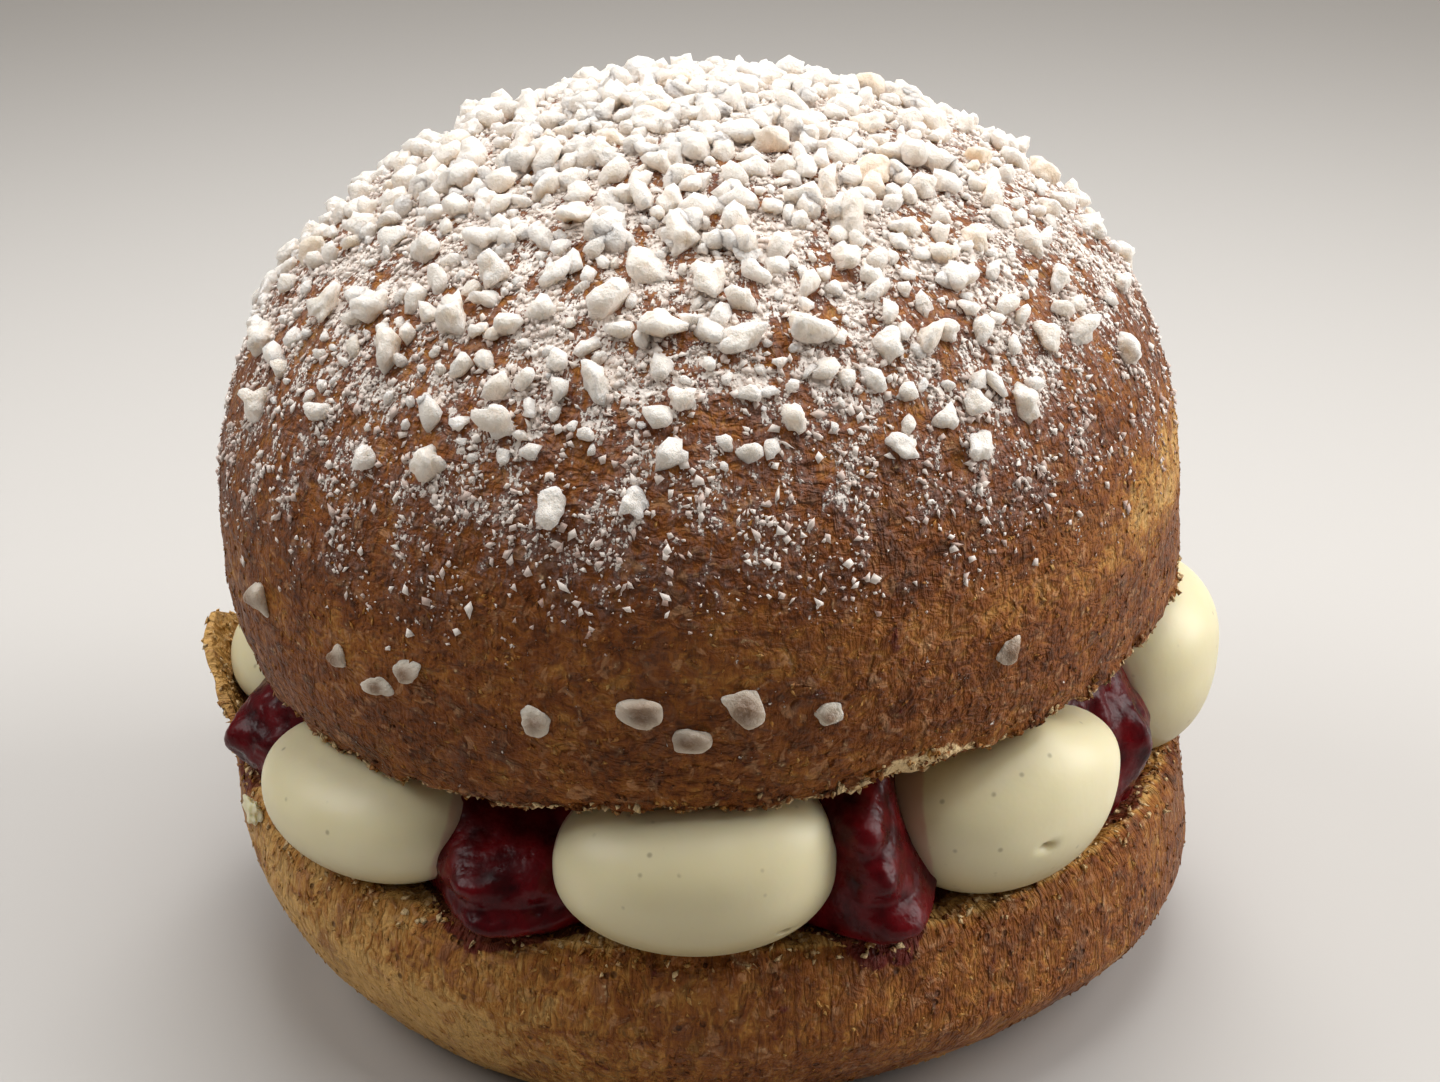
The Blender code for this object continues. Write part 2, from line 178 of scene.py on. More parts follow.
# How finely the surfaces are cut: columns round the bun, and rows along a section
CRUST_COLUMNS = 560
TOP_ROWS = {"cut": 9, "torn": 7, "curl": 32, "dome": 122}
BASE_ROWS = {"foot": 8, "corner": 62, "side": 44, "rim": 14, "cut": 34}
JAM_COLUMNS = 720
JAM_ROWS = 90
CREAM_COLUMNS = 160
CREAM_ROWS = 100


def all_round(columns):
    """The angles of a grid's columns, from 0 to less than 2 pi."""
    return np.linspace(0, 2 * math.pi, columns, endpoint=False)[None, :]


AROUND = all_round(CRUST_COLUMNS)


def round_the_bun(sizes):
    """A size that changes round the bun: f + (r-l)/2 sin a + ((r+l)/2 - f) sin^2 a, from left, front, right."""
    left, front, right = sizes
    s = np.sin(AROUND)
    return front + (right - left) / 2 * s + ((right + left) / 2 - front) * s**2


def waves(rows):
    """1 plus a sum of cosines, each row giving the count round the bun, the depth and the start."""
    return 1.0 + sum(depth * np.cos(count * AROUND + start) for count, depth, start in rows)


def bell(away):
    """(1 + cos(pi d)) / 2 of the distance d from 0, and 0 beyond 1."""
    return (1 + np.cos(np.minimum(1.0, np.abs(away)) * math.pi)) / 2


def hump(place, azimuth=AROUND):
    """The bell of the distance from a place's middle as a share of its half width, both in degrees."""
    middle, half_width = (math.radians(degrees) for degrees in place)
    return bell(((azimuth - middle + math.pi) % (2 * math.pi) - math.pi) / half_width)


def fading(away):
    """exp(-d^2) of the distance d."""
    return np.exp(-(away**2))


def step(value, low, high):
    """The smooth step 3t^2 - 2t^3 of t, which runs from 0 at low to 1 at high."""
    t = np.clip((value - low) / (high - low), 0.0, 1.0)
    return t * t * (3 - 2 * t)


def noise(points, size, seed, octaves=1):
    """Random values at the corners of a cubic lattice of this size, blended by the smooth step, -1 to 1.
    Each further octave halves both the lattice and the height."""
    total = 0.0
    for octave in range(octaves):
        table = np.random.default_rng(seed + octave).uniform(-1, 1, (32, 32, 32))
        place = points * 2**octave / size
        cell = np.floor(place).astype(int)
        t = place - cell
        t = t * t * (3 - 2 * t)
        for corner in itertools.product((0, 1), repeat=3):
            share = np.prod(np.where(corner, t, 1 - t), axis=-1)
            i, j, k = np.moveaxis((cell + corner) % 32, -1, 0)
            total = total + share * table[i, j, k] / 2**octave
    return total


def at(azimuth, radius, height):
    """Points x = r sin a, y = -r cos a, z = h."""
    azimuth, radius, height = np.broadcast_arrays(azimuth, radius, height)
    return np.stack([radius * np.sin(azimuth), -radius * np.cos(azimuth), height], axis=-1)


def unit(vectors):
    """The vectors divided by their lengths."""
    return vectors / np.maximum(np.linalg.norm(vectors, axis=-1, keepdims=True), 1e-12)


def normals_of(points):
    """Unit normals of a grid of rows that close round: the cross product of its two differences."""
    wrapped = np.concatenate([points[:, -1:], points, points[:, :1]], axis=1)
    return unit(np.cross(wrapped[:, 2:] - wrapped[:, :-2], np.gradient(points, axis=0)))


def normals_out(points):
    """The unit normals of a half of the bun, turned so that they point away from its middle."""
    normals = normals_of(points)
    outwards = ((points - points.mean(axis=(0, 1))) * normals).sum() > 0
    return normals if outwards else -normals


def laid_askew(points):
    """Turns points of the upper half by its tilt about Y and lifts them onto the filling."""
    c, s = math.cos(TOP_TILT), math.sin(TOP_TILT)
    x, y, z = np.moveaxis(points, -1, 0)
    return np.stack([c * x - s * z, y, s * x + c * z + TOP_MIDDLE_HEIGHT], axis=-1)


def sampled(grid, columns, rows):
    """Values of a grid between its corners, blended linearly; columns wrap round."""
    rows = np.clip(rows, 0, grid.shape[0] - 1.001)
    i, j = np.floor(rows).astype(int), np.floor(columns).astype(int)
    u, v = (rows - i)[:, None], (columns - j)[:, None]
    j0, j1 = j % grid.shape[1], (j + 1) % grid.shape[1]
    low = grid[i, j0] * (1 - v) + grid[i, j1] * v
    high = grid[i + 1, j0] * (1 - v) + grid[i + 1, j1] * v
    return low * (1 - u) + high * u


def in_scene(name, data):
    """A new object in the scene."""
    made = bpy.data.objects.new(name, data)
    bpy.context.scene.collection.objects.link(made)
    return made


def finished(name, points, faces, material, slot, nodes=(), smooth=True, **attributes):
    """Puts arrays of points and faces, each array of faces with its own corner count, into a piece that
    rides on the bun, with an attribute of one number a point for each further name."""
    mesh = bpy.data.meshes.new(name)
    mesh.vertices.add(len(points))
    mesh.vertices.foreach_set("co", points.astype(np.float32).ravel())
    sizes = np.concatenate([np.full(len(f), f.shape[1]) for f in faces])
    corners = np.concatenate([f.ravel() for f in faces])
    mesh.loops.add(len(corners))
    mesh.loops.foreach_set("vertex_index", corners.astype(np.int32))
    mesh.polygons.add(len(sizes))
    mesh.polygons.foreach_set("loop_start", (np.cumsum(sizes) - sizes).astype(np.int32))
    mesh.update(calc_edges=True)
    if smooth:
        mesh.shade_smooth()
    for key, values in attributes.items():
        layer = mesh.attributes.new(key, "FLOAT", "POINT")
        layer.data.foreach_set("value", np.asarray(values, np.float32).ravel())
    mesh.materials.append(material)
    piece = in_scene(name, mesh)
    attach(piece, "root")
    if nodes:
        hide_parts(*nodes)


def closed_grid(points):
    """Points and faces of a grid whose columns close round, with a fan to a hub at each end."""
    rows, columns = points.shape[:2]
    i, j = np.meshgrid(np.arange(rows - 1), np.arange(columns), indexing="ij")
    k = (j + 1) % columns
    quads = np.stack([i * columns + j, i * columns + k, (i + 1) * columns + k, (i + 1) * columns + j], -1)
    hubs = np.stack([points[0].mean(axis=0), points[-1].mean(axis=0)])
    ring = np.arange(columns)
    after = (ring + 1) % columns
    last = (rows - 1) * columns
    first_hub = np.full(columns, rows * columns)
    fans = [np.stack([after, ring, first_hub], -1), np.stack([last + ring, last + after, first_hub + 1], -1)]
    return np.concatenate([points.reshape(-1, 3), hubs]), [quads.reshape(-1, 4), np.concatenate(fans)]


def with_hubs(values):
    """An attribute for closed_grid's points: the grid's values, and each end row's mean for its hub."""
    return np.concatenate([values.ravel(), [values[0].mean(), values[-1].mean()]])


def finished_grid(name, grid, material, slot, nodes, **attributes):
    """Closes and finishes a grid of points, whose attributes are grids too."""
    points, faces = closed_grid(grid)
    finished(name, points, faces, material, slot, nodes,
             **{key: with_hubs(values) for key, values in attributes.items()})


def stretches(rows):
    """For each named stretch of rows, its index range and its shares from 0 to 1, ends not repeated."""
    start, found = 0, {}
    for name, count in rows.items():
        found[name] = (slice(start, start + count), np.linspace(0, 1, count, endpoint=False)[:, None])
        start += count
    return start, found


def top_radius(height):
    """The curl, c + (w - c) sqrt(1 - (1 - h/k)^2), below the widest place k, and the dome above it:
    w (1 - t^p)^(1/p), where t is the share of the way from k to the top."""
    cut = round_the_bun(TOP_CUT_RADIUS)
    below = np.clip(height / TOP_WIDEST_HEIGHT, 0, 1)
    above = np.clip((height - TOP_WIDEST_HEIGHT) / (TOP_RISE - TOP_WIDEST_HEIGHT), 0, 1)
    curl = cut + (TOP_WIDEST - cut) * np.sqrt(1 - (1 - below) ** 2)
    dome = TOP_WIDEST * (1 - above**DOME_POWER) ** (1 / DOME_POWER)
    return waves(SWELLS) * np.where(height < TOP_WIDEST_HEIGHT, curl, dome)


def top_shape():
    """The upper half as a grid in its own frame: cut face, torn edge, curl and dome, with its relief.
    Gives the points and each point's height above the cut before the relief."""
    count, rows = stretches(TOP_ROWS)
    radius = np.zeros((count, CRUST_COLUMNS))
    height = np.zeros_like(radius)
    torn = TORN_HEIGHT * waves(TORN_WAVES) + TEAR_HEIGHT * hump(TEAR_AT)
    edge = top_radius(torn)
    where, share = rows["cut"]
    radius[where] = (edge - TORN_WIDTH) * (0.3 + 0.7 * share)
    where, share = rows["torn"]
    radius[where] = edge - TORN_WIDTH * (1 - share)
    height[where] = torn * share**1.5
    where, share = rows["curl"]
    height[where] = torn + (TOP_WIDEST_HEIGHT - torn) * share**1.5
    radius[where] = top_radius(height[where])
    where, share = rows["dome"]
    fine = np.linspace(0, math.pi / 2, 2000)
    across, up = np.cos(fine) ** (2 / DOME_POWER), np.sin(fine) ** (2 / DOME_POWER)
    run = np.concatenate([[0], np.cumsum(np.hypot(np.diff(across) * TOP_WIDEST,
                                                  np.diff(up) * (TOP_RISE - TOP_WIDEST_HEIGHT)))])
    even = np.interp(share[:, 0] * 0.985, run / run[-1], fine)[:, None]
    height[where] = TOP_WIDEST_HEIGHT + (TOP_RISE - TOP_WIDEST_HEIGHT) * np.sin(even) ** (2 / DOME_POWER)
    radius[where] = TOP_WIDEST * np.cos(even) ** (2 / DOME_POWER) * waves(SWELLS)
    points = at(AROUND, radius, height)
    ragged = step(height, 3.0 * MM, 0.6 * MM) * step(radius, edge - 3 * TORN_WIDTH, edge - TORN_WIDTH)
    wrinkled = step(height, 24 * MM, 9 * MM)
    flat = points * np.array([1, 1, 2.6])
    relief = 0.30 * MM * noise(points, 17 * MM, 3)
    relief += (0.07 + 0.10 * wrinkled) * MM * noise(flat, 4.2 * MM, 11, octaves=2)
    relief += 0.58 * MM * ragged * noise(points, 1.9 * MM, 23, octaves=2)
    points = points + normals_of(points) * relief[..., None]
    crumbly = step(height, 2.5 * MM, 0) * noise(at(AROUND, radius, height), 1.5 * MM, 31, octaves=2)
    points[..., 2] += 0.28 * MM * np.where(radius > edge - 2 * TORN_WIDTH, crumbly, 0)
    return points, radius, height, torn


def base_shape():
    """The lower half as a grid: flat foot, round corner, side, rim or torn lip, and the cut face."""
    count, rows = stretches(BASE_ROWS)
    radius = np.zeros((count, CRUST_COLUMNS))
    height = np.zeros_like(radius)
    grown = waves(SWELLS)
    lip = hump(LIP_AT)
    foot = BASE_FOOT_RADIUS * round_the_bun(FOOT_SPREAD) * grown
    foot = foot - FOOT_DENT * hump(FOOT_DENT_AT)
    widest = round_the_bun(BASE_WIDEST) * grown
    widest_height = round_the_bun(BASE_WIDEST_HEIGHT)
    power = 2.0 / round_the_bun(BASE_CORNER)
    rim = round_the_bun(BASE_RIM) * (1 + (grown - 1) / 2) + LIP_FLARE * lip
    edge_of_lip = noise(at(AROUND, rim, 0 * rim), 2.2 * MM, 83, octaves=2)
    rim_height = CUT_HEIGHT + LIP_RISE * lip * (1 + LIP_RAGGED * edge_of_lip * lip)
    inner = rim - LIP_THICKNESS
    floor_radius = inner - LIP_FLARE * lip / 2
    where, share = rows["foot"]
    radius[where] = foot * (0.3 + 0.7 * share)
    where, share = rows["corner"]
    turn = share * math.pi / 2
    radius[where] = foot + (widest - foot) * np.sin(turn) ** power
    height[where] = widest_height * (1 - np.cos(turn) ** power)
    where, share = rows["side"]
    radius[where] = widest + (rim - widest) * share**2
    height[where] = widest_height + (rim_height - widest_height) * share * SIDE_UP_TO
    where, share = rows["rim"]
    half = share * math.pi
    radius[where] = (rim + inner) / 2 + (rim - inner) / 2 * np.cos(half)
    top_of_side = widest_height + (rim_height - widest_height) * SIDE_UP_TO
    height[where] = np.where(half < math.pi / 2, top_of_side + (rim_height - top_of_side) * np.sin(half),
                             rim_height - RIM_SAG * (1 - np.sin(half)))
    where, share = rows["cut"]
    shore = np.minimum(1, share * 5)
    radius[where] = (inner + (floor_radius - inner) * shore) * (1 - 0.75 * share**1.6)
    height[where] = rim_height - RIM_SAG + (CUT_HEIGHT - rim_height + RIM_SAG) * step(shore, 0, 1)
    below_edge = np.clip((height - CUT_HEIGHT + SHOULDER_DROP) / SHOULDER_DROP, 0, 1)
    radius -= SHOULDER_WIDTH * (1 - lip) * below_edge**2 * step(radius, 40 * MM, 46 * MM)
    points = at(AROUND, radius, height)
    upright = step(height, 0.2 * MM, 2.5 * MM)
    near_rim = step(height, CUT_HEIGHT - 3.0 * MM, CUT_HEIGHT - 0.5 * MM) * step(radius, 38 * MM, 44 * MM)
    tall = points * np.array([1, 1, 0.4])
    swells, fibres = noise(points, 15 * MM, 5), noise(tall, 2.3 * MM, 13, octaves=2)
    relief = upright * (0.40 * MM * swells + 0.13 * MM * fibres)
    relief += near_rim * (1 - 0.8 * lip) * 0.34 * MM * noise(points, 1.7 * MM, 29, octaves=2)
    points = points + normals_of(points) * relief[..., None]
    points[..., 2] = np.maximum(points[..., 2], 0)
    return points, radius, height


def under_top(x):
    """The height of the upper half's cut face over x."""
    return TOP_MIDDLE_HEIGHT + math.tan(TOP_TILT) * x


def squeezed(x, share, gap=0.3 * MM):
    """A height between the two cut faces over x: share 0 lies on the lower one, and 1 under the upper."""
    low = CUT_HEIGHT + gap
    return low + share * (under_top(x) - gap - low)


def jam_radius(azimuth, share):
    """A core with a lobe in each gap, tucked under by (1 - s/b)^2 below the bulge b and drawn back above
    it."""
    edge = JAM_CORE_RADIUS + sum(
        (reach * MM - JAM_CORE_RADIUS) * hump((degrees, half_width), azimuth)
        for degrees, half_width, reach in JAM_DEGREES_MM
    )
    low = JAM_TUCKED_UNDER * np.clip(1 - share / JAM_BULGE_SHARE, 0, 1) ** 2
    high = JAM_DRAWN_BACK * np.clip((share - JAM_BULGE_SHARE) / (1 - JAM_BULGE_SHARE), 0, 1) ** 2
    return edge - low - high


def jam_shape():
    """The jam as a grid: the core and lobes of jam_radius from floor to ceiling, with folds, each a hump in
    azimuth times one in height, and lumps of fruit from noise."""
    azimuth = all_round(JAM_COLUMNS)
    way = np.linspace(0, 1, JAM_ROWS)[:, None]
    share = step(way, 0.0, 1.0) * 0.6 + 0.4 * way
    share = np.clip((share - JAM_ENDS) / (1 - 2 * JAM_ENDS), 0, 1)
    inward = np.clip((JAM_ENDS - way) / JAM_ENDS, 0, 1) + np.clip((way - (1 - JAM_ENDS)) / JAM_ENDS, 0, 1)
    radius = jam_radius(azimuth, share) * (1 - 0.5 * inward)
    rough = at(azimuth, radius, share * 12 * MM)
    free = np.clip(1 - inward * 3, 0, 1)
    for degrees, half_width, middle, half_share, proud in JAM_FOLDS_DEGREES_MM:
        fold = hump((degrees, half_width), azimuth)
        radius = radius + free * proud * MM * fold * bell((share - middle) / half_share)
    lumps = 0.55 * noise(rough, 2.6 * MM, 41) + 0.26 * noise(rough, 1.3 * MM, 43, octaves=2)
    radius = radius + free * MM * lumps
    return at(azimuth, radius, squeezed(radius * np.sin(azimuth), share))


def cream_shape(azimuth, half_width, reach, shoulder, number):
    """A piped ball over a sphere of directions (across, out, up): each is raised to the box power or the
    shoulder's, the height is squashed flat against the two halves, and the inner depth is longer than
    the outer. Bubble pits are dented in. Gives the points, how near each is to the jam's surface, and its
    share of the height."""
    turn = all_round(CREAM_COLUMNS)
    rise = np.linspace(-math.pi / 2, math.pi / 2, CREAM_ROWS + 2)[1:-1, None]
    across, out, up = np.cos(rise) * np.cos(turn), np.cos(rise) * np.sin(turn), np.sin(rise) + 0 * turn
    flat = np.hypot(across, out)
    squash = np.where(up > 0, CREAM_SQUASH_ABOVE, CREAM_SQUASH_BELOW)
    share = (np.clip(squash * np.sign(up) * np.abs(up) ** CREAM_BOX_POWER, -1, 1) + 1) / 2
    wider = flat ** np.where(up > 0, shoulder - 1, CREAM_BOX_POWER - 1)
    deeper = np.where(up > 0, 1.0, flat ** (CREAM_BOX_POWER - 1))
    depth = np.where(out > 0, CREAM_OUTER_DEPTH, CREAM_INNER_DEPTH)
    swollen = 1 + 0.02 * noise(np.stack([across, out, up], -1) + number, 0.9, 51 + number)
    for ball, pit_across, pit_up, size in CREAM_PITS_MM:
        if ball == number:
            away = np.hypot(across - pit_across, (up - pit_up) * 1.7) * half_width / (size * MM)
            swollen = swollen - np.where(out > 0, PIT_DEPTH * fading(away * 1.8), 0)
    along = across * wider * half_width * swollen
    radius = reach - CREAM_OUTER_DEPTH + out * deeper * depth * swollen
    x = radius * math.sin(azimuth) + along * math.cos(azimuth)
    y = -radius * math.cos(azimuth) + along * math.sin(azimuth)
    points = np.stack([x, y, squeezed(x, share)], axis=-1)
    beyond = np.hypot(x, y) - jam_radius(np.arctan2(x, -y), share)
    return points, fading(np.maximum(beyond, 0) / (0.9 * MM)), share


def scattered_nibs(rng):
    """The large nibs as rows of azimuth, radius and size: thrown down from above at random and kept where
    no other is too near, closer together near the top."""
    kept = []
    for _ in range(NIB_TRIES):
        azimuth = rng.uniform(0, 2 * math.pi)
        radius = NIB_FIELD_RADIUS * math.sqrt(rng.uniform(0, 1))
        size = rng.uniform(NIB_SMALLEST, NIB_LARGEST)
        spacing = NIB_SPACING + NIB_SPREADING * (radius / NIB_FIELD_RADIUS) ** 2
        here = Vector((radius * math.sin(azimuth), -radius * math.cos(azimuth)))
        if all((here - place).length > spacing for place, *_ in kept):
            kept.append((here, azimuth, radius, size))
        if len(kept) == NIB_COUNT:
            break
    return np.array([row[1:] for row in kept])


def ball_mesh(subdivisions):
    """Directions and triangles of an icosphere."""
    bm = bmesh.new()
    bmesh.ops.create_icosphere(bm, subdivisions=subdivisions, radius=1.0)
    directions = np.array([v.co for v in bm.verts])
    triangles = np.array([[v.index for v in f.verts] for f in bm.faces])
    bm.free()
    return unit(directions), triangles


def crystals(rng, count, directions, knobs, sharpness):
    """Rounded polyhedra as radii over directions d: (sum_k (max(d.n_k, 0) / h_k)^p)^(-1/p), for random
    planes n_k at distances h_k. The larger p, the sharper the edges. Noise then knocks knobs into them."""
    normals = unit(rng.normal(size=(count, NIB_PLANES, 3)))
    far = rng.uniform(0.58, 1.0, (count, 1, NIB_PLANES))
    facing = np.maximum(np.einsum("vc,npc->nvp", directions, normals), 0) / far
    radii = ((facing**sharpness).sum(axis=2) + 1.35**-sharpness) ** (-1 / sharpness)
    where = directions[None] + rng.uniform(0, 20, (count, 1, 3))
    radii = radii * (1 + knobs * noise(where, 0.75, 71) + 0.5 * knobs * noise(where, 0.38, 73))
    return directions[None] * radii[..., None]


def frames_on(normals, rng, level=False):
    """For each normal, three axes: two at right angles to it, the first one level or turned at random, and
    itself."""
    helper = np.array([[0.0, 0.0, -1.0]]) if level else rng.normal(size=normals.shape)
    first = unit(np.cross(normals, helper))
    return np.stack([first, np.cross(normals, first), normals], axis=1)


def strewn(shapes, sizes, places, axes, triangles):
    """Joins copies of a small shape: each is sized, turned to its axes and moved to its place."""
    turned = np.einsum("nvc,ncd->nvd", shapes * sizes[:, None, :], axes) + places[:, None, :]
    count, corners = turned.shape[:2]
    faces = triangles[None] + (np.arange(count) * corners)[:, None, None]
    return turned.reshape(-1, 3), [faces.reshape(-1, 3)]


def colour(red, green, blue):
    """A colour as painters' programs name it, 0 to 255, made linear, and opaque."""
    linear = [(c / 255 / 12.92) if c / 255 <= 0.04045 else ((c / 255 + 0.055) / 1.055) ** 2.4
              for c in (red, green, blue)]
    return (*linear, 1.0)


def operator(name):
    """What a Python operator does on a shader socket: it adds one Math node."""
    return lambda value, other: value.math(name, other)


class Value:
    """A shader socket that Python's operators work on."""

    __add__ = __radd__ = operator("ADD")
    __mul__ = __rmul__ = operator("MULTIPLY")
    __sub__, __truediv__, __pow__ = operator("SUBTRACT"), operator("DIVIDE"), operator("POWER")

    def __init__(self, paint, socket):
        self.paint, self.socket = paint, socket

    def math(self, operation, *others):
        return self.paint.node("ShaderNodeMath", {"operation": operation}, [self, *others])

    def __rsub__(self, other):
        return (self * -1) + other

    def swing(self, width):
        """Swings by the width about nothing, where the value itself runs from 0 to 1."""
        return (self - 0.5) * width

    def step(self, low, high):
        """The smooth step from 0 at low to 1 at high."""
        return self.paint.node("ShaderNodeMapRange", {"interpolation_type": "SMOOTHSTEP"},
                               {"Value": self, "From Min": low, "From Max": high})


class Paint:
    """One material: its Principled shader, and short ways to add the nodes that feed it."""

    def __init__(self, name, **constants):
        self.material = bpy.data.materials.new(name)
        self.material.use_nodes = True
        self.tree = self.material.node_tree
        self.shader = self.tree.nodes["Principled BSDF"]
        self.place = self.node("ShaderNodeTexCoord", output=3)
        for key, value in constants.items():
            self.shader.inputs[key.replace("_", " ").title().replace("Ior", "IOR")].default_value = value

    def node(self, kind, settings=None, inputs=(), output=0):
        """Adds a node: its settings, then its inputs by name or order, each a number, colour or Value."""
        made = self.tree.nodes.new(kind)
        for key, value in (settings or {}).items():
            if key == "stops":
                ramp = made.color_ramp
                while len(ramp.elements) < len(value):
                    ramp.elements.new(0.5)
                for element, (position, shade) in zip(ramp.elements, value):
                    element.position, element.color = position, shade
            else:
                setattr(made, key, value)
        for key, value in inputs.items() if isinstance(inputs, dict) else enumerate(inputs):
            if isinstance(value, Value):
                self.tree.links.new(value.socket, made.inputs[key])
            else:
                made.inputs[key].default_value = value
        return Value(self, made.outputs[output])

    def mix(self, share, first, second):
        """A colour between two, by share."""
        return self.node("ShaderNodeMix", {"data_type": "RGBA"}, {0: share, 6: first, 7: second}, output=2)

    def attribute(self, name):
        return self.node("ShaderNodeAttribute", {"attribute_name": name}, output=2)

    def noise(self, scale, detail=2.0, roughness=0.5, distortion=0.0, where=None):
        """Blender's noise, spread so that it runs over most of 0 to 1."""
        raw = self.node("ShaderNodeTexNoise", {}, {
            "Vector": where or self.place, "Scale": scale, "Detail": detail, "Roughness": roughness,
            "Distortion": distortion})
        return raw.swing(2.2) + 0.5

    def cells(self, scale):
        """How far the nearest of some scattered points is."""
        return self.node("ShaderNodeTexVoronoi", {}, {"Vector": self.place, "Scale": scale}, output=0)

    def unrolled(self, across, along):
        """Places unrolled from the bun: across the way round, along the way up. The horizontal direction
        and the angle up from the bun's middle take the place of x, y and z, so there is no seam."""
        x, y, z = (self.node("ShaderNodeSeparateXYZ", {}, [self.place], output=i) for i in range(3))
        radius = (x * x + y * y + 1e-8) ** 0.5
        angle = (z - 0.035).math("ARCTAN2", radius)
        return self.node("ShaderNodeCombineXYZ", {},
                         [x / radius * across, y / radius * across, angle * along])

    def finished(self, height=None, distance=0.0, **inputs):
        """Links what varies, with a bump of this height and distance, and gives the material."""
        if height:
            inputs["normal"] = self.node("ShaderNodeBump", {}, {"Strength": 1.0, "Distance": distance,
                                                                "Height": height})
        for key, value in inputs.items():
            self.tree.links.new(value.socket, self.shader.inputs[key.replace("_", " ").title()])
        return self.material


GOLDEN = colour(214, 167, 98)
GOLDEN_BROWN = colour(181, 124, 57)
BROWN = colour(148, 88, 34)
RED_BROWN = colour(120, 63, 21)
DARKEST = colour(79, 41, 14)
FLECK = colour(206, 154, 108)
MAUVE_BROWN = colour(132, 93, 71)
CRUMB = colour(238, 206, 154)
ICING = colour(247, 237, 227)
HAZE = colour(166, 134, 124)
JAM_STAIN = colour(92, 14, 14)


def crust_paint(name, pores):
    """Baked crust: a ramp of browns over the bake attribute, broken up by mottles, upright fibres and level
    wrinkles, with pale crumb where it is torn, jam stains, pores, and icing sugar in clumps."""
    paint = Paint(name, roughness=0.5, specular_ior_level=0.18)
    mottles = paint.noise(130.0, 3.0, 0.6)
    blotches = paint.noise(300.0, 3.0, 0.55, 0.8)
    curls = paint.noise(500.0, 2.0, 0.55, 1.0)
    fibres = paint.noise(1.0, 3.0, 0.55, 1.5, paint.unrolled(60.0, 22.0))
    wrinkles = paint.noise(1.0, 2.0, 0.5, 1.6, paint.unrolled(22.0, 46.0))
    grain = paint.noise(2300.0, 2.0, 0.6)
    bake = paint.attribute("bake")
    upright, level = (0.44, 0.10) if pores else (0.20, 0.34)
    shade = (bake + mottles.swing(0.26) + blotches.swing(0.42) + curls.swing(0.42)
             + fibres.swing(upright) + wrinkles.swing(level) + grain.swing(0.10))
    browns = paint.node("ShaderNodeValToRGB", {"stops": [(0.0, GOLDEN), (0.28, GOLDEN_BROWN), (0.52, BROWN),
                                                         (0.78, RED_BROWN), (1.0, DARKEST)]}, [shade])
    flecks = paint.noise(640.0, 2.0, 0.5, 0.8)
    dark = bake.step(-0.15, 0.5)
    torn = (paint.attribute("crumb") * 1.4 + grain.swing(0.5) + curls.swing(0.8)).step(0.35, 0.85)
    stained = (paint.attribute("stain") * 1.3 + blotches.swing(1.1) + curls.swing(0.5)).step(0.40, 0.75)
    for share, over in (
        (curls.step(0.62, 0.95) * 0.24, FLECK),
        (flecks.step(0.72, 0.90) * 0.40, FLECK),
        (curls.step(0.38, 0.10) * dark * 0.5, DARKEST),
        (flecks.step(0.28, 0.14) * dark * 0.45, DARKEST),
        (mottles.step(0.55, 1.0) * curls.step(0.3, 0.7) * 0.4, MAUVE_BROWN),
        (torn, CRUMB),
        (stained * 0.85, JAM_STAIN),
    ):
        browns = paint.mix(share, browns, over)
    height = (curls * 0.6 + fibres * upright * 1.4 + wrinkles * level * 1.4 + grain * 0.10 + mottles * 0.3
              + blotches * 0.6)
    rough = paint.noise(500.0) * 0.16 + 0.44
    if pores:
        near = paint.cells(560.0)
        here = near.step(0.22, 0.08) * paint.noise(260.0, 1.0).step(0.5, 0.75)
        browns = paint.mix(here * 0.7, browns, DARKEST)
        height = height - here
    else:
        powder = paint.attribute("powder")
        clumps = (paint.noise(1250.0, 3.0, 0.7) + paint.noise(300.0, 2.0).swing(0.4)
                  + wrinkles.swing(0.12) + fibres.swing(0.6))
        bare = 1.14 - powder * 0.96
        dusted = (clumps - bare).step(-0.07, 0.07)
        film = (clumps - bare).step(-0.62, -0.05) * powder.step(0.02, 0.22)
        browns = paint.mix(film * 0.46, browns, HAZE)
        browns = paint.mix(dusted * 0.95, browns, ICING)
        rough = rough + dusted * 0.45 + film * 0.1
        height = height * (1 - dusted * 0.6) + dusted * 0.35
    return paint.finished(height, 0.75 * MM, base_color=browns, roughness=rough)


def sugar_paint(name, white, amber):
    """Pearl sugar: opaque nibs, grainy with crystals, some of them amber; light gets a little way in. The amber
    colour also carries painted shade low on each nib and painted see-through light in its middle.
    """
    paint = Paint(name, roughness=0.45, subsurface_weight=0.65, subsurface_scale=0.0016,
                  subsurface_radius=(1.0, 0.92, 0.85))
    grain = paint.noise(1500.0, 3.0, 0.7)
    crystals_seen = paint.cells(900.0)
    # The amber share mixes real amber colour with painted shade and painted see-through light.
    shade = paint.mix(paint.attribute("amber"), white, amber)
    shade = paint.mix((1 - grain).step(0.45, 0.9) * 0.2, shade, colour(226, 208, 194))
    return paint.finished(grain * 0.7 + crystals_seen * 0.9, 0.30 * MM, base_color=shade)


def icing_paint():
    """Icing sugar: white powder in small clumps, quite matt; the crust's brown shows through thin ones."""
    paint = Paint("icing sugar", roughness=0.95)
    speck = paint.noise(2200.0, 2.0)
    white = paint.mix(speck, colour(241, 230, 219), colour(249, 241, 232))
    return paint.finished(base_color=paint.mix(paint.attribute("thin"), white, colour(172, 136, 120)))


